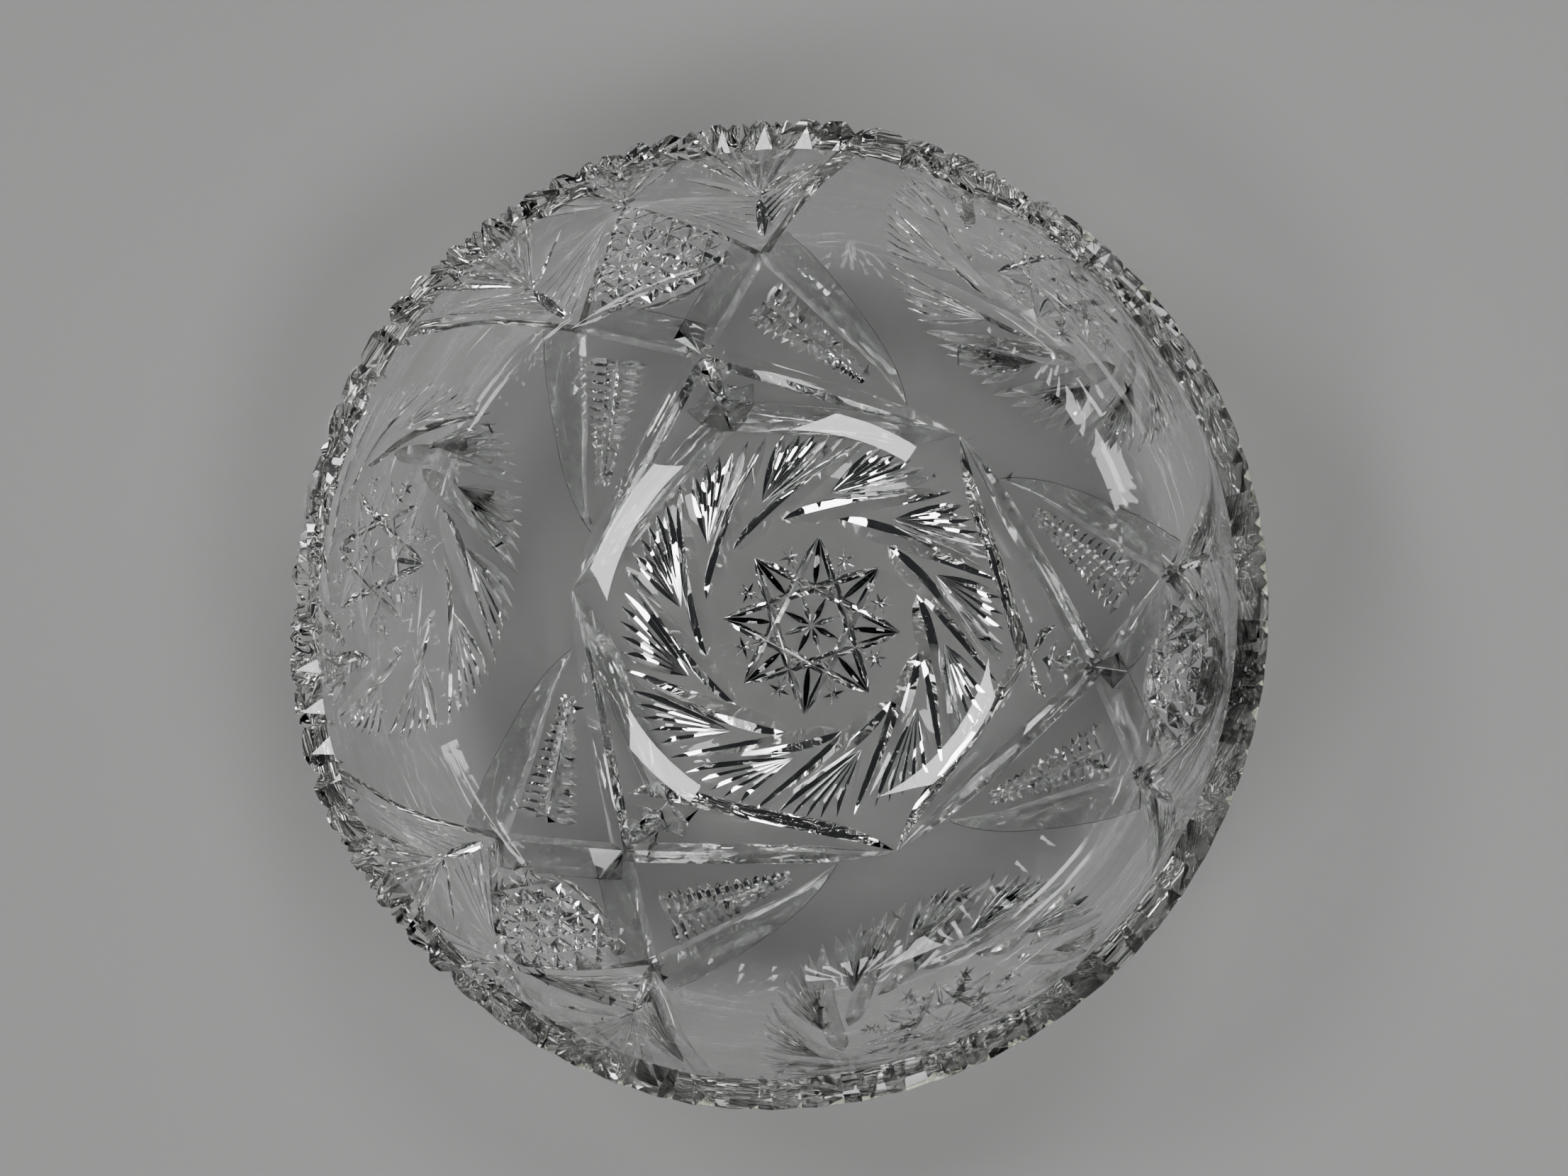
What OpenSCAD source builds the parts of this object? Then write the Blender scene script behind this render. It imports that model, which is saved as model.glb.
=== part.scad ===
// Cut glass punch bowl: one heavy piece of clear glass, smooth inside, with a star cut
// under the base and a scalloped, toothed rim. Its origin is the centre of the flat that it stands on.

/* [Bowl] */
// Diameter across the rim
rim_d = 229; // [215:1:245]
// Height from the table to the top of the rim
bowl_h = 90; // [86:1:100]
// Diameter of the flat that the bowl stands on
base_d = 60; // [54:1:66]
// Thickness of the wall, measured square to it
wall_t = 7; // [6:0.5:8]
// Thickness of the floor
floor_t = 10; // [9:0.5:12]

/* [Profile] */
// Radius of the soft turn from the flat into the lower sweep
foot_turn_r = 60; // [50:5:70]
// Slope of the outside where that turn ends, in degrees
base_slope = 20; // [18:1:22]
// Slope at the shoulder, where the lower sweep meets the belly, in degrees
shoulder_slope = 41; // [39:1:43]
// Slope of the straight part under the rim, in degrees
rim_slope = 85; // [82:1:86]
// Radius of the belly's arc in section
belly_r = 58; // [54:1:60]
// Radius inside, where the floor meets the wall
floor_fillet_r = 40; // [30:1:50]

/* [Rim] */
// Number of broad scallops
scallops = 6; // [3:1:8]
// Depth of a scallop at its middle
scallop_dip = 4.5; // [2:0.5:6]
// Number of fine teeth round the rim
teeth = 72; // [36:12:96]
// Depth of the notch between two teeth
tooth_depth = 1.6; // [0.8:0.1:2]
// Angle inside the V of a notch, in degrees
notch_angle = 140; // [120:5:145]

/* [Base star] */
// Number of V cuts that make the star under the base
star_points = 8; // [6:1:12]
// Angle inside the V of a cut, in degrees
mitre_angle = 100; // [80:5:120]
// Depth of a cut
star_depth = 1.5; // [0.8:0.1:2]
// Radius of the cutting wheel
star_wheel_r = 75; // [60:5:90]

/* [Hidden] */
$fn = 180;
rim_r = rim_d / 2;
base_r = base_d / 2;
// The cutters pass this far beyond the glass
clear = 20;
// Lean of a tooth notch, down towards the outside, in degrees
notch_tilt = 6;
// Height of the V tool that cuts a notch
notch_rise = 4;
// Distance of a star cut's middle from the axis
star_r = base_r * 2 / 3;

// Section: a soft turn, the lower sweep, the belly and a straight lip, each tangent to the next. The
// turn and the belly have given radii, so the sweep's radius and the lip's length close the section.
turn_c = [base_r, foot_turn_r];
turn_end = turn_c + foot_turn_r * [sin(base_slope), -cos(base_slope)];
sweep_dr = sin(shoulder_slope) - sin(base_slope);
sweep_dz = cos(base_slope) - cos(shoulder_slope);
belly_dr = belly_r * (sin(rim_slope) - sin(shoulder_slope));
belly_dz = belly_r * (cos(shoulder_slope) - cos(rim_slope));
left_dr = rim_r - turn_end[0] - belly_dr;
left_dz = bowl_h - turn_end[1] - belly_dz;
det = sweep_dr * sin(rim_slope) - sweep_dz * cos(rim_slope);
sweep_r = (left_dr * sin(rim_slope) - left_dz * cos(rim_slope)) / det;
sweep_c = turn_end - sweep_r * [sin(base_slope), -cos(base_slope)];
shoulder = sweep_c + sweep_r * [sin(shoulder_slope), -cos(shoulder_slope)];
belly_c = shoulder - belly_r * [sin(shoulder_slope), -cos(shoulder_slope)];
belly_top = belly_c + belly_r * [sin(rim_slope), -cos(rim_slope)];

// The fillet inside touches the floor and the inner side of the lower sweep
inner_sweep_r = sweep_r - wall_t;
fillet_reach = inner_sweep_r - floor_fillet_r;
fillet_dz = sweep_c[1] - floor_t - floor_fillet_r;
fillet_c = [sweep_c[0] + sqrt(fillet_reach * fillet_reach - fillet_dz * fillet_dz),
            floor_t + floor_fillet_r];
fillet_slope = acos(fillet_dz / fillet_reach);

// Points along an arc of a section, from one slope to another
arc_steps = 12;
function arc(c, r, from, to) =
    [for (i = [0 : arc_steps]) let (a = from + (to - from) * i / arc_steps)
        c + r * [sin(a), -cos(a)]];

// The drum that grinds a scallop passes through two crests and the valley between them
half_chord = rim_r * sin(180 / scallops);
drum_r = (half_chord * half_chord + scallop_dip * scallop_dip) / (2 * scallop_dip);

module blank() {
    // The bowl as it comes to the cutter: a plain thick shell
    rotate_extrude()
        polygon(concat(
            [[0, floor_t], [0, 0]],
            arc(turn_c, foot_turn_r, 0, base_slope),
            arc(sweep_c, sweep_r, base_slope, shoulder_slope),
            arc(belly_c, belly_r, shoulder_slope, rim_slope),
            [[rim_r, bowl_h], [rim_r - wall_t / sin(rim_slope), bowl_h]],
            arc(belly_c, belly_r - wall_t, rim_slope, shoulder_slope),
            arc(sweep_c, inner_sweep_r, shoulder_slope, fillet_slope),
            arc(fillet_c, floor_fillet_r, fillet_slope, 0)));
}

module scallop_cutter() {
    // A large drum across the rim, whose lowest point sets the dip; it lies along +X
    translate([rim_r - wall_t - clear, 0, bowl_h - scallop_dip + drum_r])
        rotate([0, 90, 0])
            cylinder(r = drum_r, h = wall_t + 2 * clear);
}

// Height of the scalloped rim at an azimuth
function rim_height(az) =
    let (pitch = 360 / scallops, x = rim_r * sin(az - pitch * round(az / pitch)))
    bowl_h - scallop_dip + drum_r - sqrt(drum_r * drum_r - x * x);

module tooth_notch(az) {
    // A V across the rim, a little deeper outside than inside
    half_w = notch_rise * tan(notch_angle / 2);
    rotate([0, 0, az])
        translate([rim_r - wall_t / 2, 0, rim_height(az) - tooth_depth])
            rotate([0, notch_tilt, 0])
                rotate([90, 0, 90])
                    linear_extrude(wall_t + 2 * clear, center = true)
                        polygon([[0, 0], [half_w, notch_rise], [-half_w, notch_rise]]);
}

module star_cut() {
    // The V edge of a wheel sunk into the underside, across the base and off its middle
    edge = 6;
    half_w = edge * tan(mitre_angle / 2);
    translate([star_r, 0, star_depth - star_wheel_r])
        rotate([90, 0, 0])
            rotate_extrude()
                polygon([[0, -half_w], [star_wheel_r - edge, -half_w], [star_wheel_r, 0],
                         [star_wheel_r - edge, half_w], [0, half_w]]);
}

module bowl() {
    color([0.86, 0.90, 0.90, 0.35])
        difference() {
            blank();
            for (i = [0 : scallops - 1])
                rotate([0, 0, 360 * i / scallops])
                    scallop_cutter();
            for (i = [0 : teeth - 1])
                tooth_notch(360 * (i + 0.5) / teeth);
            for (i = [0 : star_points - 1])
                rotate([0, 0, 360 * i / star_points])
                    star_cut();
        }
}

bowl();
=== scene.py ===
# %% [markdown]
# # A cut glass punch bowl
#
# The real bowl starts as a thick plain blank of clear glass. A cutter holds its outside against
# stone wheels with a V edge, and each pass leaves one groove with flat, sloping flanks. Nothing is
# moulded: every star, fan and mesh is made of such grooves. This lesson works the same way. It spins
# a blank, makes one groove tool, and cuts the pattern into the blank with booleans.
#
# Lengths are in millimetres and become metres through MM. The radius and the height are those of the
# bowl before its rim is ground, so they are a little more than the CAD's box.

# %% The frame
import math

import bmesh
import bpy
from mathutils import Matrix, Vector


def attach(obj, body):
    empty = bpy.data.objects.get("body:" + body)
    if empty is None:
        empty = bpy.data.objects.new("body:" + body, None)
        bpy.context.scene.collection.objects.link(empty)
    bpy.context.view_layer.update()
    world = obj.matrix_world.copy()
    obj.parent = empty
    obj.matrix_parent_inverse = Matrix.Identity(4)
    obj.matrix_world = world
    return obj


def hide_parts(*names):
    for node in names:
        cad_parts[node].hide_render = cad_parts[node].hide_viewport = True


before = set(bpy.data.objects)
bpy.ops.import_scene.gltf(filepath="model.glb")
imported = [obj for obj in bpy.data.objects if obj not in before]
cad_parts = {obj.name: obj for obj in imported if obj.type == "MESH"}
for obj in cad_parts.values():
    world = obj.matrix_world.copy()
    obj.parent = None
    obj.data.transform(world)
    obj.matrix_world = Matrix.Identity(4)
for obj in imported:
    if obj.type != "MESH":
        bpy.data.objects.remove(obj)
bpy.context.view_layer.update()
MM = 0.001
RIM_R = 114.5
BOWL_H = 90.0

# %% [markdown]
# ## The section
#
# A cutter measures along the glass, so the section is a chain of arcs, each tangent to the last: the
# flat base, a soft turn, the lower sweep, the belly and the upright lip. Each link is a length and
# the slope it turns through. Walking along the chain answers the only question the pattern asks:
# where is the outside, a distance s from the middle of the base, and how steep is it there?

# %% Links of the section
FLAT_R = 30.0
TURN_R = 60.0
BELLY_R = 58.0
WALL_T = 7.0
FLOOR_T = 10.0
INSIDE_TURN_R = 40.0
BASE_SLOPE, SHOULDER_SLOPE, RIM_SLOPE = (math.radians(a) for a in (20, 41, 85))


def arc_reach(radius, slope, end):
    """How far out and up an arc of the section goes between two slopes."""
    out = radius * (math.sin(end) - math.sin(slope))
    return out, radius * (math.cos(slope) - math.cos(end))


def close_section():
    """Radius of the lower sweep and length of the lip that bring the chain to the rim."""
    turn, belly = arc_reach(TURN_R, 0, BASE_SLOPE), arc_reach(BELLY_R, SHOULDER_SLOPE, RIM_SLOPE)
    unit = arc_reach(1, BASE_SLOPE, SHOULDER_SLOPE)
    out = RIM_R - FLAT_R - turn[0] - belly[0]
    up = BOWL_H - turn[1] - belly[1]
    lip_out, lip_up = math.cos(RIM_SLOPE), math.sin(RIM_SLOPE)
    scale = unit[0] * lip_up - unit[1] * lip_out
    sweep = (out * lip_up - up * lip_out) / scale
    return sweep, (up - sweep * unit[1]) / lip_up


SWEEP_R, LIP = close_section()
OUTSIDE = [
    (FLAT_R, 0),
    (TURN_R * BASE_SLOPE, BASE_SLOPE),
    (SWEEP_R * (SHOULDER_SLOPE - BASE_SLOPE), SHOULDER_SLOPE - BASE_SLOPE),
    (BELLY_R * (RIM_SLOPE - SHOULDER_SLOPE), RIM_SLOPE - SHOULDER_SLOPE),
    (LIP, 0),
]
print(f"lower sweep radius {SWEEP_R:.1f} mm, lip {LIP:.1f} mm")

# %% Walking along a chain


def walk(chain, s, height=0.0):
    """Radius, height and slope, s millimetres along a chain; past its end it goes straight on."""
    r, z, slope = 0.0, height, 0.0
    for length, turn in chain:
        step = min(s, length)
        if turn:
            end = slope + turn * step / length
            out, up = arc_reach(length / turn, slope, end)
            r, z, slope = r + out, z + up, end
        else:
            r, z = r + step * math.cos(slope), z + step * math.sin(slope)
        s -= step
        if s <= 0:
            return r, z, slope
    return r + s * math.cos(slope), z + s * math.sin(slope), slope


RIM_S = sum(length for length, turn in OUTSIDE)
print(f"{RIM_S:.1f} mm along the outside from the middle to the rim:", walk(OUTSIDE, RIM_S)[:2])

# %% The inside: a flat floor, a soft turn, and then the outside's arcs less the wall
sweep_start = walk(OUTSIDE, OUTSIDE[0][0] + OUTSIDE[1][0])
SWEEP_CENTRE_R = sweep_start[0] - SWEEP_R * math.sin(BASE_SLOPE)
SWEEP_CENTRE_Z = sweep_start[1] + SWEEP_R * math.cos(BASE_SLOPE)
inner_reach = SWEEP_R - WALL_T - INSIDE_TURN_R
inner_rise = SWEEP_CENTRE_Z - FLOOR_T - INSIDE_TURN_R
INSIDE_SLOPE = math.acos(inner_rise / inner_reach)
INSIDE_FLAT = SWEEP_CENTRE_R + inner_reach * math.sin(INSIDE_SLOPE)
INSIDE = [
    (INSIDE_FLAT, 0),
    (INSIDE_TURN_R * INSIDE_SLOPE, INSIDE_SLOPE),
    ((SWEEP_R - WALL_T) * (SHOULDER_SLOPE - INSIDE_SLOPE), SHOULDER_SLOPE - INSIDE_SLOPE),
    ((BELLY_R - WALL_T) * (RIM_SLOPE - SHOULDER_SLOPE), RIM_SLOPE - SHOULDER_SLOPE),
    (LIP - WALL_T / math.tan(RIM_SLOPE), 0),
]
print(f"the floor is flat to r {INSIDE_FLAT:.1f} mm")

# %% [markdown]
# ## The blank
#
# A gaffer blows the blank into a turned mould, so it is a true solid of revolution. In Blender that
# is one open outline, spun round Z and merged. The outline is walked at even steps along both
# chains, so that the facets stay small, and it starts and ends on the axis, so that the solid closes.

# %% Spinning the blank
OUTLINE_STEP = 4.2
STRAIGHT_STEP = 8.0
BLANK_SEGMENTS = 224
WELD = 1e-6


def outline():
    """Points of the section in metres, from the axis under the base round to the axis inside."""
    points = []
    for chain, height in ((OUTSIDE, 0.0), (INSIDE, FLOOR_T)):
        side, s = [], 0.0
        for length, turn in chain:
            steps = max(1, round(length / (OUTLINE_STEP if turn else STRAIGHT_STEP)))
            side += [walk(chain, s + length * i / steps, height) for i in range(steps)]
            s += length
        side.append(walk(chain, s, height))
        points += side if not points else side[::-1]
    return [Vector((r, 0, z)) * MM for r, z, slope in points]


def object_from(bm, name):
    """Puts a bmesh into a new object at the origin."""
    mesh = bpy.data.meshes.new(name)
    bm.to_mesh(mesh)
    bm.free()
    return bpy.data.objects.new(name, mesh)


def spin_blank():
    bm = bmesh.new()
    verts = [bm.verts.new(p) for p in outline()]
    edges = [bm.edges.new(pair) for pair in zip(verts, verts[1:])]
    bmesh.ops.spin(
        bm, geom=verts + edges, cent=(0, 0, 0), axis=(0, 0, 1),
        angle=math.tau, steps=BLANK_SEGMENTS, use_merge=True,
    )
    bmesh.ops.remove_doubles(bm, verts=bm.verts, dist=WELD)
    bmesh.ops.recalc_face_normals(bm, faces=bm.faces)
    return object_from(bm, "bowl_glass")


bowl = spin_blank()
bpy.context.scene.collection.objects.link(bowl)
print("blank:", len(bowl.data.polygons), "faces")

# %% [markdown]
# ## The chart
#
# The pattern is drawn on a chart: a flat disc on which a point's distance from the middle is its
# distance along the glass, and its angle is its azimuth. On this chart the long mitres are straight
# lines, as they are for the cutter, who swings the bowl under the wheel. Up on the wall a star has
# to stay round on the glass itself, so a panel there has its own small chart, square to the wall.

# %% Chart to glass


def chart(azimuth, s):
    """A place on the chart from an azimuth in degrees and a distance along the glass."""
    a = math.radians(azimuth)
    return Vector((s * math.cos(a), s * math.sin(a)))


def panel(azimuth, middle):
    """A chart of one panel: x to the right and y up the wall, as seen from inside the bowl."""

    def place(x, y):
        s = middle + y
        return chart(azimuth - math.degrees(x / walk(OUTSIDE, s)[0]), s)

    return place


def spot(place):
    """The point on the outside, in metres, and the direction out of the glass there."""
    r, z, slope = walk(OUTSIDE, place.length)
    radial = Vector((place.x, place.y, 0)).normalized() if place.length else Vector((1, 0, 0))
    up = Vector((0, 0, 1))
    return (radial * r + up * z) * MM, radial * math.sin(slope) - up * math.cos(slope)


print("the outside meets the rim, in metres, at", [round(c, 4) for c in spot(chart(0, RIM_S))[0]])

# %% [markdown]
# ## The groove tool
#
# A V wheel leaves a groove with two flat flanks that run out to a point at each end, because the
# wheel is round. The tool is a three-sided prism, made by an operator and subdivided along its
# length, whose rings are then moved onto the path: one corner down in the glass, two proud of it.
# How far each flank leans is its own angle, so a wide bevel and a narrow one can share a valley.
# The cutters stand a little proud of the glass, so that no skin is left over a groove, and a run-out
# that has come to nothing is lifted clear of it.

# %% A groove
PROUD = 1.2
LIFT = 0.03
FLANK = 44
RING_STEP = 5.0
LOOK_AHEAD = 0.01


def smooth_path(places, t):
    """A point on a smooth curve through the given places, t from 0 to 1."""
    spans = len(places) - 1
    i = min(int(t * spans), spans - 1)
    u = t * spans - i
    p = [places[min(max(k, 0), spans)] for k in (i - 1, i, i + 1, i + 2)]
    if spans == 1:
        return p[1].lerp(p[2], u)
    return 0.5 * (
        2 * p[1] + (p[2] - p[0]) * u
        + (2 * p[0] - 5 * p[1] + 4 * p[2] - p[3]) * u * u
        + (3 * p[1] - p[0] - 3 * p[2] + p[3]) * u * u * u
    )


def run_out(t, fade, bow):
    """Share of the full depth at t; each end's fade is the share of the length it takes."""
    share = 1.0
    for end, along in zip(fade, (t, 1 - t)):
        if end and along < end:
            share = min(share, 1 - (1 - along / end) ** bow)
    return share


def groove(places, depth, right=FLANK, left=FLANK, fade=(0.5, 0.5), bow=2, step=RING_STEP, least=4):
    """One pass of a V wheel along a path on the chart, as a closed cutter."""
    length = sum((b - a).length for a, b in zip(places, places[1:]))
    steps = max(least, math.ceil(length / step))
    bm = bmesh.new()
    bmesh.ops.create_cone(bm, cap_ends=True, segments=3, radius1=1, radius2=1, depth=1)
    long_edges = [e for e in bm.edges if abs(e.verts[0].co.z - e.verts[1].co.z) > 0.5]
    bmesh.ops.subdivide_edges(bm, edges=long_edges, cuts=steps - 1)
    rings = {}
    for v in bm.verts:
        corner = round(math.atan2(v.co.y, v.co.x) / math.tau * 3) % 3
        rings.setdefault(round((v.co.z + 0.5) * steps), {})[corner] = v
    for i, ring in rings.items():
        t = i / steps
        point, out = spot(smooth_path(places, t))
        ahead = spot(smooth_path(places, min(t + LOOK_AHEAD, 1)))[0]
        behind = spot(smooth_path(places, max(t - LOOK_AHEAD, 0)))[0]
        across = out.cross(ahead - behind).normalized()
        down = depth * run_out(t, fade, bow) - LIFT
        keel = point - out * down * MM
        rise = (down + PROUD) * MM
        corners = (
            keel,
            keel + out * rise + across * rise * math.tan(math.radians(right)),
            keel + out * rise - across * rise * math.tan(math.radians(left)),
        )
        for corner, v in ring.items():
            v.co = corners[corner]
    bmesh.ops.recalc_face_normals(bm, faces=bm.faces)
    return object_from(bm, "groove")


def carve(cutters, what):
    """Cuts a set of closed cutters out of the bowl, all at once."""
    rack = bpy.data.collections.new("cutters")
    bpy.context.scene.collection.children.link(rack)
    for cutter in cutters:
        rack.objects.link(cutter)
    cut = bowl.modifiers.new("cut", "BOOLEAN")
    cut.operation = "DIFFERENCE"
    cut.operand_type = "COLLECTION"
    cut.collection = rack
    cut.solver = "MANIFOLD"
    graph = bpy.context.evaluated_depsgraph_get()
    mesh = bpy.data.meshes.new_from_object(bowl.evaluated_get(graph))
    bowl.modifiers.clear()
    old, bowl.data = bowl.data, mesh
    bpy.data.meshes.remove(old)
    for cutter in cutters:
        bpy.data.meshes.remove(cutter.data)
    bpy.data.collections.remove(rack)
    mesh.calc_loop_triangles()
    print(f"{what}: {len(cutters)} cuts, {len(mesh.loop_triangles)} triangles")


print(f"flanks lean {FLANK} degrees from the keel unless a cut says otherwise")

# %% [markdown]
# ## The main mitres
#
# Three kites stand on the wall with a pinwheel between each pair. Long mitres lay out the whole
# design before anything fine is cut: one from the rim down each side of a kite, across its lower
# corner and on under the next pinwheel; one from the kite's top down its upper side; a bowed one that
# sweeps down past the ladder; and a broad one near the base. A short keel line and two small cross
# cuts make a knot at the foot of each kite. Mirror images share their numbers, so a side of -1 swaps
# the two flanks. A pair is an azimuth from the middle of the kite and a distance along the glass, and
# 172 is just past the rim, so that a cut runs out over the edge.

# %% Cutting the mitres
PANELS = 3
PAST_RIM = 172
KITE_TOP = (-0.8, 141)
KITE_SIDE = (15.5, 103.5)
KITE_FOOT = (0, 78.5)
UPPER_END = (32.5, PAST_RIM)
SWEEP_PLACES = ((26, 83), (36.5, 71.6), (46, 63))
BASE_END = (8.5, 65.6)
MEETING = (60, 64)
UNDER_END = (-MEETING[0], MEETING[1])
KEEL_LINE = (60, 78)
KNOTS = (66, 71)
KNOT_HALF = 5


def on_side(turn, side, *points):
    """Places from (azimuth, distance) pairs, mirrored about the middle of the kite."""
    return [chart(turn + side * azimuth, s) for azimuth, s in points]


def handed(side, right, left):
    """Flank angles for a path or for its mirror image."""
    return {"right": right, "left": left} if side > 0 else {"right": left, "left": right}


def main_mitres():
    cutters = []
    for turn in range(0, 360, 360 // PANELS):
        for side in (1, -1):
            upper = on_side(turn, side, UPPER_END, KITE_SIDE)
            lower = on_side(turn, side, KITE_SIDE, KITE_FOOT)
            under = on_side(turn, side, KITE_FOOT, UNDER_END)
            crown = on_side(turn, side, KITE_TOP, KITE_SIDE)
            sweep = on_side(turn, side, KITE_SIDE, *SWEEP_PLACES)
            base = on_side(turn, side, UNDER_END, BASE_END)
            cutters += [
                groove(upper, 2.3, fade=(0, 0), **handed(side, 46, 50)),
                groove(lower, 2.5, fade=(0, 0), **handed(side, 46, 74)),
                groove(under, 2.6, fade=(0, 0.35), **handed(side, 50, 46)),
                groove(crown, 2.2, fade=(0, 0), **handed(side, 46, 46)),
                groove(sweep, 2.6, fade=(0, 1), bow=1.3, **handed(side, 77, 46)),
                groove(base, 2.9, fade=(0.3, 0.12), **handed(side, 52, 60)),
            ]
        keel_line = [chart(turn, s) for s in KEEL_LINE]
        cutters.append(groove(keel_line, 2.2, fade=(0.3, 0.1)))
        for knot in KNOTS:
            ends = [chart(turn - KNOT_HALF, knot), chart(turn + KNOT_HALF, knot)]
            cutters.append(groove(ends, 1.9, 48, 48, fade=(0.4, 0.4)))
    return cutters


carve(main_mitres(), "main mitres")

# %% [markdown]
# ## Hobstars and pinwheels
#
# A hobstar of eight points is eight straight grooves, each from one point to the third one round.
# Short cuts split every point and put a small star where grooves cross and on the hob in the middle.
# Round it twelve vanes start along a circle and swing outwards the same way, which makes the star
# look as if it turned. Each vane is a curved groove with one flank wider than the other, and a fan of
# five leaves opens from its foot.

# %% Hobstar
STAR_POINTS = 8
STAR_FLANK = 46
CHORD_DEPTH, SPLIT_DEPTH = 1.05, 0.8
FINE_DEPTH = 0.55
CROSSING_NEAR = math.cos(3 * math.pi / 8) / math.cos(math.pi / 8)
CROSSING_FAR = math.cos(3 * math.pi / 8) / math.cos(math.pi / 4)


def polar(place, angle, radius):
    """A place on a panel's chart from an angle in degrees and a radius."""
    a = math.radians(angle)
    return place(radius * math.cos(a), radius * math.sin(a))


def small_star(place, angle, radius, reach, rays=(0, 45, 90, 135), depth=FINE_DEPTH):
    """Short cuts that cross at one place."""
    a = math.radians(angle)
    x, y = radius * math.cos(a), radius * math.sin(a)
    cutters = []
    for ray in rays:
        b = math.radians(angle + ray)
        dx, dy = reach * math.cos(b), reach * math.sin(b)
        ends = [place(x - dx, y - dy), place(x + dx, y + dy)]
        cutters.append(groove(ends, depth, least=2))
    return cutters


def hobstar(place, radius, start):
    cutters = []
    pitch = 360 / STAR_POINTS
    for k in range(STAR_POINTS):
        angle = start + pitch * k
        chord = [polar(place, angle, radius), polar(place, angle + 3 * pitch, radius)]
        split = [polar(place, angle, radius), polar(place, angle, CROSSING_NEAR * radius)]
        cutters.append(groove(chord, CHORD_DEPTH, STAR_FLANK, STAR_FLANK, fade=(0.16, 0.16)))
        cutters.append(groove(split, SPLIT_DEPTH, STAR_FLANK, STAR_FLANK, fade=(0.6, 0.4)))
        notch = angle + pitch / 2
        cutters += small_star(place, notch, CROSSING_FAR * radius, 0.2 * radius, (0, 60, 120), 0.7)
        ray = [polar(place, notch, 0.02 * radius), polar(place, notch, 0.36 * radius)]
        cutters.append(groove(ray, SPLIT_DEPTH, STAR_FLANK, STAR_FLANK, fade=(0.2, 0.8), least=3))
        cutters += small_star(place, notch, 0.8 * radius, 0.14 * radius, (30, 90, 150), 0.6)
    return cutters


# %% Pinwheel
VANES = 12
VANE_START = 28.0
VANE_TIP = (45.5, 22.7)
VANE_DEPTH, LEAF_DEPTH = 2.3, 1.6
FAN_FOOT = (27.5, 20.0)
LEAF_TIPS = (68.5, 73.5, 78, 82.5, 87)
LEAF_RADIUS = 50.5


def turned(place, angle, x, y):
    """A place given along and across a vane that starts at an angle, seen from inside."""
    a = math.radians(angle - 90)
    return place(x * math.cos(a) - y * math.sin(a), x * math.sin(a) + y * math.cos(a))


def pinwheel(place, scale, start, sag):
    """Vanes that swing clockwise, as seen from inside, each with its fan of leaves."""
    cutters = []
    for k in range(VANES):
        angle = start + 360 / VANES * k
        middle = (VANE_TIP[0] / 2 * scale, (VANE_START + VANE_TIP[1]) / 2 * scale + sag)
        vane = [
            turned(place, angle, 0, VANE_START * scale),
            turned(place, angle, *middle),
            turned(place, angle, VANE_TIP[0] * scale, VANE_TIP[1] * scale),
        ]
        cutters.append(groove(vane, VANE_DEPTH, 54, 46, fade=(0.25, 0.6), step=4.0))
        foot = turned(place, angle, FAN_FOOT[0] * scale, FAN_FOOT[1] * scale)
        for leaf in LEAF_TIPS:
            a = math.radians(90 - leaf)
            tip = (LEAF_RADIUS * scale * math.cos(a), LEAF_RADIUS * scale * math.sin(a))
            path = [foot, turned(place, angle, *tip)]
            cutters.append(groove(path, LEAF_DEPTH, 50, 46, fade=(0.6, 0.4), step=6))
    return cutters


def base_chart(x, y):
    """The chart of the base itself, where the glass is flat."""
    return Vector((x, y))


BASE_STAR_R = 23
BASE_STAR_START, BASE_VANE_START = 4, -5
BASE_SAG = 1.3
base_star = hobstar(base_chart, BASE_STAR_R, BASE_STAR_START)
carve(base_star + pinwheel(base_chart, 1.0, BASE_VANE_START, BASE_SAG), "base pinwheel")

# %% Pinwheels on the wall
WHEEL_MIDDLE = 127
WHEEL_SCALE = 0.95
WALL_STAR_R = 21.0
WALL_STAR_START, WALL_VANE_START = 90, 5
WALL_SAG = 3.0


def wall_wheel(azimuth):
    place = panel(azimuth, WHEEL_MIDDLE)
    cutters = hobstar(place, WALL_STAR_R, WALL_STAR_START)
    for k in range(STAR_POINTS):
        notch = WALL_STAR_START + 360 / STAR_POINTS * (k + 0.5)
        cutters += small_star(place, notch, 0.95 * WALL_STAR_R, 3.6, depth=0.8)
    return cutters + pinwheel(place, WHEEL_SCALE, WALL_VANE_START, WALL_SAG)


for turn in range(60, 420, 360 // PANELS):
    carve(wall_wheel(turn), f"wall pinwheel at {turn} degrees")

# %% [markdown]
# ## Kites, ladders and fans
#
# A kite's field is a mesh of three families of grooves: two that slant to either side and one that
# runs level. All three cross at the same places, which leaves small three-sided pyramids. The grooves
# stop at the field's outline, so each line is clipped to it.

# %% The mesh in a kite
MESH_PITCH = 6.2
MESH_LEAN = math.tan(math.radians(30))
FIELD_SIDE = [(-11.5, 20), (-18.5, 5), (-16, -4), (-7, -10.5)]
FIELD = [(0, 35), *FIELD_SIDE, *((-x, y) for x, y in reversed(FIELD_SIDE))]
KITE_MIDDLE = 105
SLANT_DEPTH, LEVEL_DEPTH = 2.4, 2.2
MESH_FLANK = 47
SHORTEST_CUT = 2
PARALLEL = 1e-9


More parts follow.
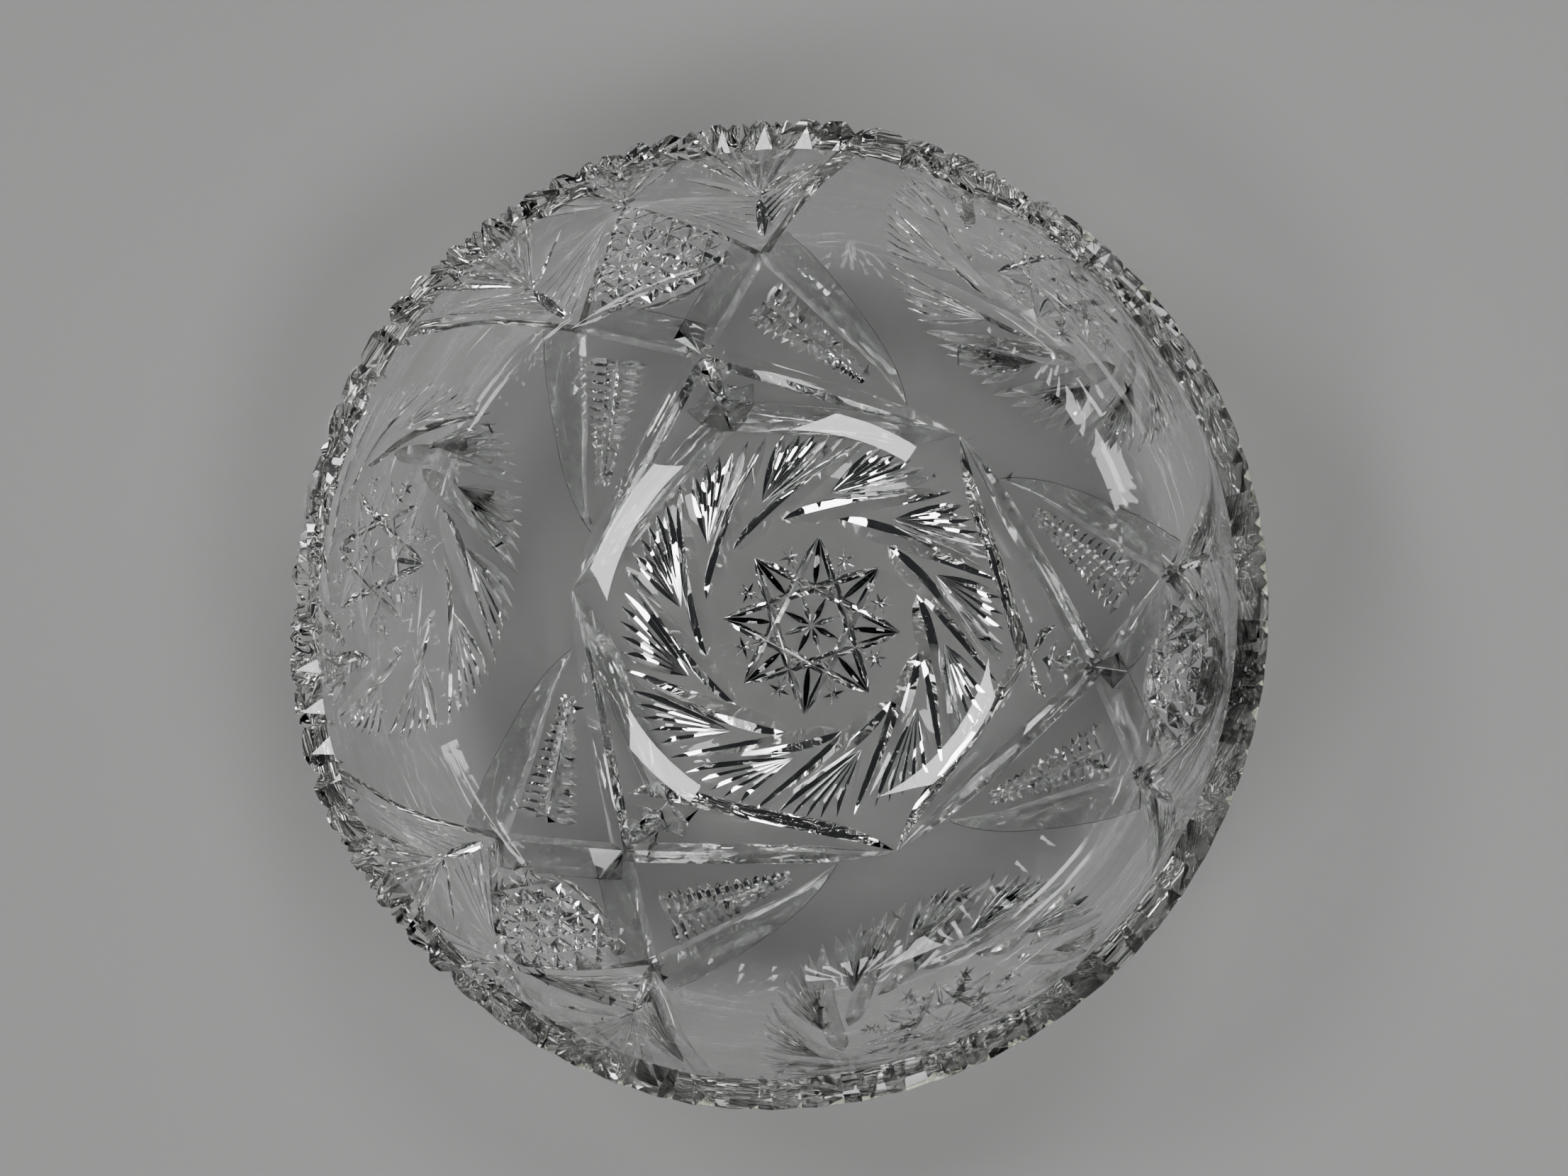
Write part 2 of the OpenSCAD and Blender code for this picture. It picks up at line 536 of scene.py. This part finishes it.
def clip(point, direction, outline_points):
    """Where a line enters and leaves a convex outline, or None."""
    near, far = -math.inf, math.inf
    for a, b in zip(outline_points, outline_points[1:] + outline_points[:1]):
        ex, ey = b[0] - a[0], b[1] - a[1]
        inside = ex * (point[1] - a[1]) - ey * (point[0] - a[0])
        rate = ex * direction[1] - ey * direction[0]
        if abs(rate) < PARALLEL:
            if inside < 0:
                return None
        elif rate > 0:
            near = max(near, -inside / rate)
        else:
            far = min(far, -inside / rate)
    return (near, far) if far - near > SHORTEST_CUT else None


def field_cut(place, point, direction, depth):
    """One groove of the mesh, clipped to the kite's field."""
    ends = clip(point, direction, FIELD)
    if ends is None:
        return []
    path = [place(point[0] + direction[0] * t, point[1] + direction[1] * t) for t in ends]
    flanks = {"right": MESH_FLANK, "left": MESH_FLANK}
    return [groove(path, depth, **flanks, fade=(0.14, 0.14), bow=1.4, step=9, least=3)]


def kite_mesh(azimuth):
    place = panel(azimuth, KITE_MIDDLE)
    run = math.hypot(MESH_LEAN, 1)
    cutters = []
    for k in range(-8, 9):
        for side in (1, -1):
            slant = (side * MESH_LEAN / run, 1 / run)
            cutters += field_cut(place, (k * MESH_PITCH, FIELD[0][1]), slant, SLANT_DEPTH)
    row = MESH_PITCH / MESH_LEAN / 2
    for k in range(1, 9):
        cutters += field_cut(place, (0, FIELD[0][1] - k * row), (1, 0), LEVEL_DEPTH)
    return cutters


print(f"mesh lines {MESH_PITCH} mm apart")

# %% [markdown]
# ## Ladders
#
# A ladder runs beside each lower side of a kite: a shallow spine with rungs across it on both sides.
# A cutter sets the rungs by eye at an even pitch and shortens them towards the foot, so that the
# ladder ends in a point.

# %% Ladders
RUNGS = 14
SPINE_DEPTH, RUNG_DEPTH = 1.0, 1.25
RUNG_TOP = 9.0
RUNG_FOOT = 2.0
LADDER_TOP = (14, 88)
LADDER_FOOT = (35, 66.5)


def ladder(turn, side):
    """A spine with rungs on both sides that shorten towards its foot."""
    top, foot = on_side(turn, side, LADDER_TOP, LADDER_FOOT)
    along = foot - top
    across = Vector((along.y, -along.x)).normalized()
    cutters = [groove([top, foot], SPINE_DEPTH, fade=(0.1, 0.2))]
    for k in range(RUNGS):
        t = (k + 0.5) / RUNGS
        middle = top + along * t
        reach = RUNG_TOP + (RUNG_FOOT - RUNG_TOP) * t
        for way in (1, -1):
            path = [middle, middle + across * way * reach]
            cutters.append(groove(path, RUNG_DEPTH, fade=(0.02, 0.25), least=3))
    return cutters


print(f"{RUNGS} rungs on each side of a spine")

# %% [markdown]
# ## Fans under the rim
#
# What is left between a kite and the rim is filled with rays. Seven spread from the kite's top to the
# rim, six more from a fork on each side, and short side cuts close the gap between fork and kite.

# %% Fans
RAY_FLANK = 45
RAY_DEPTH, SIDE_CUT_DEPTH = 1.6, 1.3
CROWN_FOOT, CROWN_DEPTH, CROWN_PITCH = 139, 1.7, 4.4
FORK_FOOT, FORK = (16.3, 104), (17, 123)
FORK_TIPS = ((25, 148), (8.5, 143))
FORK_RAYS = [(10 + 3 * k, PAST_RIM) for k in range(6)]
SIDE_CUTS = 6
INNER_CORNER, OUTER_CORNER = (2, 135), (27, 150)


def rays(foot, tips, depth, fade=(0.8, 0)):
    """Grooves that spread from one place."""
    return [groove([foot, tip], depth, RAY_FLANK, RAY_FLANK, fade=fade) for tip in tips]


def rim_fans(turn):
    above = [chart(turn + CROWN_PITCH * k, PAST_RIM) for k in range(-3, 4)]
    cutters = rays(chart(turn, CROWN_FOOT), above, CROWN_DEPTH)
    for side in (1, -1):
        foot, fork = on_side(turn, side, FORK_FOOT, FORK)
        cutters += [groove([foot, fork], RAY_DEPTH, fade=(0.3, 0.3))]
        cutters += rays(fork, on_side(turn, side, *FORK_TIPS), RAY_DEPTH, fade=(0.1, 0.5))
        cutters += rays(fork, on_side(turn, side, *FORK_RAYS), RAY_DEPTH)
        stops = [foot.lerp(fork, (k + 0.5) / SIDE_CUTS) for k in range(SIDE_CUTS)]
        for corner in on_side(turn, side, INNER_CORNER, OUTER_CORNER):
            cutters += [groove([corner, stop], SIDE_CUT_DEPTH, fade=(0.5, 0.3)) for stop in stops]
    return cutters


for turn in range(0, 360, 360 // PANELS):
    fine = kite_mesh(turn) + rim_fans(turn) + ladder(turn, 1) + ladder(turn, -1)
    carve(fine, f"kite at {turn} degrees")

# %% [markdown]
# ## The rim
#
# The rim is ground last. A large drum across it takes six broad scallops, each lowest over the middle
# of a panel, and a V wheel notches it all the way round into fine teeth. Last of all, a short flute
# runs down the outside from each notch, every other one a little longer.

# %% Scallops and teeth
SCALLOPS = 6
SCALLOP_DIP = 4.5
DRUM_FACETS = 720
TEETH = 72
TOOTH_DEPTH = 1.6
NOTCH_R, NOTCH_FACETS, NOTCH_LEAN = 4.0, 4, 6
NOTCH_SPREAD = math.tan(math.radians(70))
FLUTE_TOP = RIM_S + 4
FLUTE_FOOT = 153.0
FLUTE_STAGGER = 2
FLUTE_DEPTH, FLUTE_FLANK = 1.1, 58
HALF_CHORD = RIM_R * math.sin(math.pi / SCALLOPS)
DRUM_R = (HALF_CHORD**2 + SCALLOP_DIP**2) / (2 * SCALLOP_DIP)
ACROSS = 40.0


def rim_tool(azimuth, radius, segments, height, lean=0.0, spread=1.0):
    """A bar with a round or square section that lies across the rim, its lowest edge at a height."""
    bm = bmesh.new()
    place = (
        Matrix.Rotation(math.radians(azimuth), 4, "Z")
        @ Matrix.Translation(Vector((RIM_R - WALL_T / 2, 0, height)) * MM)
        @ Matrix.Rotation(math.radians(lean), 4, "Y")
        @ Matrix.Translation((0, 0, radius * MM))
        @ Matrix.Diagonal((1, spread, 1, 1))
        @ Matrix.Rotation(math.pi / 2, 4, "Y")
    )
    bmesh.ops.create_cone(
        bm, cap_ends=True, segments=segments, radius1=radius * MM, radius2=radius * MM,
        depth=ACROSS * MM, matrix=place,
    )
    return object_from(bm, "rim_tool")


def rim_height(azimuth):
    """Height of the scalloped rim."""
    pitch = 360 / SCALLOPS
    x = RIM_R * math.sin(math.radians(azimuth - pitch * round(azimuth / pitch)))
    return BOWL_H - SCALLOP_DIP + DRUM_R - math.sqrt(DRUM_R**2 - x * x)


scallops = [
    rim_tool(360 // SCALLOPS * k, DRUM_R, DRUM_FACETS, BOWL_H - SCALLOP_DIP) for k in range(SCALLOPS)
]
carve(scallops, "scallops")
notches, flutes = [], []
for k in range(TEETH):
    at = 360 / TEETH * (k + 0.5)
    valley = rim_height(at) - TOOTH_DEPTH
    notches.append(rim_tool(at, NOTCH_R, NOTCH_FACETS, valley, NOTCH_LEAN, NOTCH_SPREAD))
    flute = [chart(at, FLUTE_TOP), chart(at, FLUTE_FOOT + FLUTE_STAGGER * (k % 2))]
    flutes.append(groove(flute, FLUTE_DEPTH, FLUTE_FLANK, FLUTE_FLANK, fade=(0, 0.8), least=3))
carve(notches, "teeth")
carve(flutes, "flutes")

# %% [markdown]
# ## The glass
#
# Lead glass is clear, heavy and bright: it bends light more than window glass does, which is why the
# flanks of a V cut act as mirrors. A plain glass shader looks too perfect, though. After cutting, the
# grooves are polished back, which rounds every arris a little, and each rounded arris draws a thin
# bright line. Here the Bevel node finds the arrises, both to round them and to dull them slightly.
# The hand-worked skin is faintly wavy, and the foot is scratched where it has slid over tables.

# %% The glass material
LEAD_GLASS_IOR = 1.54
ARRIS_RADIUS = 0.12 * MM
ARRIS_START, ARRIS_FULL = 0.99, 0.90
ARRIS_DULLING = 0.22
SCRATCH_DULLING = 0.12

glass = bpy.data.materials.new("cut_glass")
glass.use_nodes = True
nodes, links = glass.node_tree.nodes, glass.node_tree.links
shader = nodes["Principled BSDF"]
shader.inputs["IOR"].default_value = LEAD_GLASS_IOR
shader.inputs["Transmission Weight"].default_value = 1.0


def node(kind, **values):
    """A node of the glass material, with values for its inputs by name."""
    made = nodes.new(kind)
    for name, value in values.items():
        made.inputs[name.replace("_", " ")].default_value = value
    return made


def span(source, low, high, start, end):
    """Maps a value from one range to another, held at both ends."""
    made = node("ShaderNodeMapRange", From_Min=low, From_Max=high, To_Min=start, To_Max=end)
    links.new(source, made.inputs["Value"])
    return made.outputs["Result"]


def combine(operation, a, b):
    """One step of arithmetic on two values or sockets."""
    made = nodes.new("ShaderNodeMath")
    made.operation = operation
    for socket, value in zip(made.inputs, (a, b)):
        if isinstance(value, float):
            socket.default_value = value
        else:
            links.new(value, socket)
    return made.outputs["Value"]


coordinates = nodes.new("ShaderNodeTexCoord").outputs["Object"]
arris = node("ShaderNodeBevel", Radius=ARRIS_RADIUS)
arris.samples = 2
facing = nodes.new("ShaderNodeNewGeometry").outputs["Normal"]
turn_of_normal = nodes.new("ShaderNodeVectorMath")
turn_of_normal.operation = "DOT_PRODUCT"
links.new(arris.outputs["Normal"], turn_of_normal.inputs[0])
links.new(facing, turn_of_normal.inputs[1])
dulled = span(turn_of_normal.outputs["Value"], ARRIS_START, ARRIS_FULL, 0.0, ARRIS_DULLING)
print(f"arris radius {ARRIS_RADIUS / MM} mm")

# %% Waviness, scratches and tint
WAVE_HEIGHT = 0.02 * MM
SCRATCHED_TO, FULLY_SCRATCHED = 0.4 * MM, 0.1 * MM
STREAK_START, STREAK_FULL = 0.58, 0.66
CLEAR, FAINT_GREEN = (0.985, 0.992, 0.985, 1), (0.97, 0.98, 0.975, 1)
DEPTH_COLOUR, DEPTH_DENSITY = (0.87, 0.868, 0.848, 1), 10.0
SHARPEST_SMOOTH = math.radians(14)

waves = node("ShaderNodeTexNoise", Scale=70.0, Detail=1.0, Roughness=0.4)
links.new(coordinates, waves.inputs["Vector"])
wavy = node("ShaderNodeBump", Strength=0.5, Distance=WAVE_HEIGHT)
links.new(waves.outputs["Fac"], wavy.inputs["Height"])
links.new(arris.outputs["Normal"], wavy.inputs["Normal"])
links.new(wavy.outputs["Normal"], shader.inputs["Normal"])

height = nodes.new("ShaderNodeSeparateXYZ")
links.new(coordinates, height.inputs["Vector"])
foot = span(height.outputs["Z"], SCRATCHED_TO, FULLY_SCRATCHED, 0.0, 1.0)
stretched = node("ShaderNodeMapping", Scale=(1.0, 14.0, 1.0), Rotation=(0.0, 0.0, 0.6))
links.new(coordinates, stretched.inputs["Vector"])
streaks = node("ShaderNodeTexNoise", Scale=260.0, Detail=3.0, Roughness=0.6)
links.new(stretched.outputs["Vector"], streaks.inputs["Vector"])
scratches = span(streaks.outputs["Fac"], STREAK_START, STREAK_FULL, 0.0, SCRATCH_DULLING)
links.new(combine("MAXIMUM", dulled, combine("MULTIPLY", foot, scratches)), shader.inputs["Roughness"])

tint = nodes.new("ShaderNodeMix")
tint.data_type = "RGBA"
tint.inputs["A"].default_value = CLEAR
tint.inputs["B"].default_value = FAINT_GREEN
links.new(waves.outputs["Fac"], tint.inputs["Factor"])
links.new(tint.outputs["Result"], shader.inputs["Base Color"])
body = node("ShaderNodeVolumeAbsorption", Color=DEPTH_COLOUR, Density=DEPTH_DENSITY)
links.new(body.outputs["Volume"], nodes["Material Output"].inputs["Volume"])

bowl.data.materials.clear()
bowl.data.materials.append(glass)
bowl.data.shade_smooth()
bowl.data.set_sharp_from_angle(angle=SHARPEST_SMOOTH)
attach(bowl, "root")
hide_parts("bowl")
print("glass:", len(nodes), "nodes")

# %% [markdown]
# ## Floor and light
#
# Clear glass has no colour of its own to show, only what it bends and mirrors. On a pale floor under
# an even white dome it would all but vanish. So the room itself is dark, and the light comes from
# soft panels with gaps between them: the cuts pick up either a panel or a gap, and turn bright or
# dark. The panels keep out of the way in which the smooth inside would mirror them to the camera.

# %% The floor
FLOOR_HALF = 6.0
FLOOR_DROP = 0.3 * MM
PAPER_COLOUR = (0.21, 0.21, 0.207, 1)

bm = bmesh.new()
bmesh.ops.create_grid(bm, x_segments=1, y_segments=1, size=FLOOR_HALF)
bmesh.ops.translate(bm, verts=bm.verts, vec=(0, 0, -FLOOR_DROP))
floor = object_from(bm, "floor")
bpy.context.scene.collection.objects.link(floor)
paper = bpy.data.materials.new("floor_paper")
paper.use_nodes = True
paper_shader = paper.node_tree.nodes["Principled BSDF"]
paper_shader.inputs["Base Color"].default_value = PAPER_COLOUR
paper_shader.inputs["Roughness"].default_value = 0.9
floor.data.materials.append(paper)
print(f"floor {2 * FLOOR_HALF:.0f} m across, {FLOOR_DROP / MM:.1f} mm under the foot")

# %% Soft panels and the dark room
PANEL_DISTANCE = 1.3
HIGH, LOW, EDGE = 64, 14, 4
ROOM_COLOUR = (0.02, 0.021, 0.023, 1)


def softbox(name, azimuth, elevation, size, brightness):
    """A soft panel that faces the bowl; its power follows from its brightness and its area."""
    data = bpy.data.lights.new(name, "AREA")
    data.shape = "RECTANGLE"
    data.size, data.size_y = size
    data.energy = brightness * size[0] * size[1] * math.pi
    lamp = bpy.data.objects.new(name, data)
    a, e = math.radians(azimuth), math.radians(elevation)
    way = Vector((math.cos(a) * math.cos(e), math.sin(a) * math.cos(e), math.sin(e)))
    lamp.location = way * PANEL_DISTANCE
    lamp.rotation_euler = way.to_track_quat("Z", "Y").to_euler()
    bpy.context.scene.collection.objects.link(lamp)


for azimuth, width in ((336, 0.5), (66, 0.3), (156, 0.3), (246, 0.3)):
    softbox(f"high_panel_{azimuth}", azimuth, HIGH, (width, 0.3), 19)
for azimuth in (45, 120, 215, 300):
    softbox(f"low_panel_{azimuth}", azimuth, LOW, (0.55, 0.13), 16)
for azimuth in (10, 145, 235, 330):
    softbox(f"edge_strip_{azimuth}", azimuth, EDGE, (0.9, 0.07), 18)
room = bpy.data.worlds.new("room")
room.use_nodes = True
room.node_tree.nodes["Background"].inputs["Color"].default_value = ROOM_COLOUR
bpy.context.scene.world = room

# %% [markdown]
# ## Camera
#
# The camera looks down into the bowl from a little more than arm's length, slightly off its axis.
# Light crosses many surfaces in cut glass, so its paths may be long.

# %% The camera
EYE = Vector((106.1, -18.7, BOWL_H + 775)) * MM
AIM = Vector((3.0, 5.7, BOWL_H)) * MM
PICTURE_TURN = math.radians(8.8)
LENS, SENSOR = 78.2, 36
camera_data = bpy.data.cameras.new("camera")
camera_data.lens = LENS
camera_data.sensor_width = SENSOR
camera = bpy.data.objects.new("camera", camera_data)
back = (EYE - AIM).normalized()
up = Vector((-math.sin(PICTURE_TURN), math.cos(PICTURE_TURN), 0))
right = up.cross(back).normalized()
up = back.cross(right)
camera.matrix_world = Matrix(
    ((right.x, up.x, back.x, EYE.x), (right.y, up.y, back.y, EYE.y),
     (right.z, up.z, back.z, EYE.z), (0, 0, 0, 1))
)
bpy.context.scene.collection.objects.link(camera)
bpy.context.scene.camera = camera
scene = bpy.context.scene
scene.cycles.max_bounces = 16
scene.cycles.transmission_bounces = 16
scene.cycles.glossy_bounces = 8
print(f"camera {(EYE - AIM).length / MM:.0f} mm from the rim")

# %% [markdown]
# ## Is the glass sound?
#
# The finished mesh has no open edge. Its volume comes out too high, though. After a prism has been
# moved onto its path, the operator that turns its faces outwards picks the wrong side for about half
# of the cutters. An inside-out cutter leaves the skin closed over its groove, and the glass there is
# counted twice. Reversing the faces of each cutter with a negative volume would open those grooves.

# %% Edges and volume
bm = bmesh.new()
bm.from_mesh(bowl.data)
print("open edges:", len([e for e in bm.edges if not e.is_manifold]))
print(f"glass volume, too high: {bm.calc_volume(signed=True) / MM**3 / 1000:.0f} ml")
bm.free()
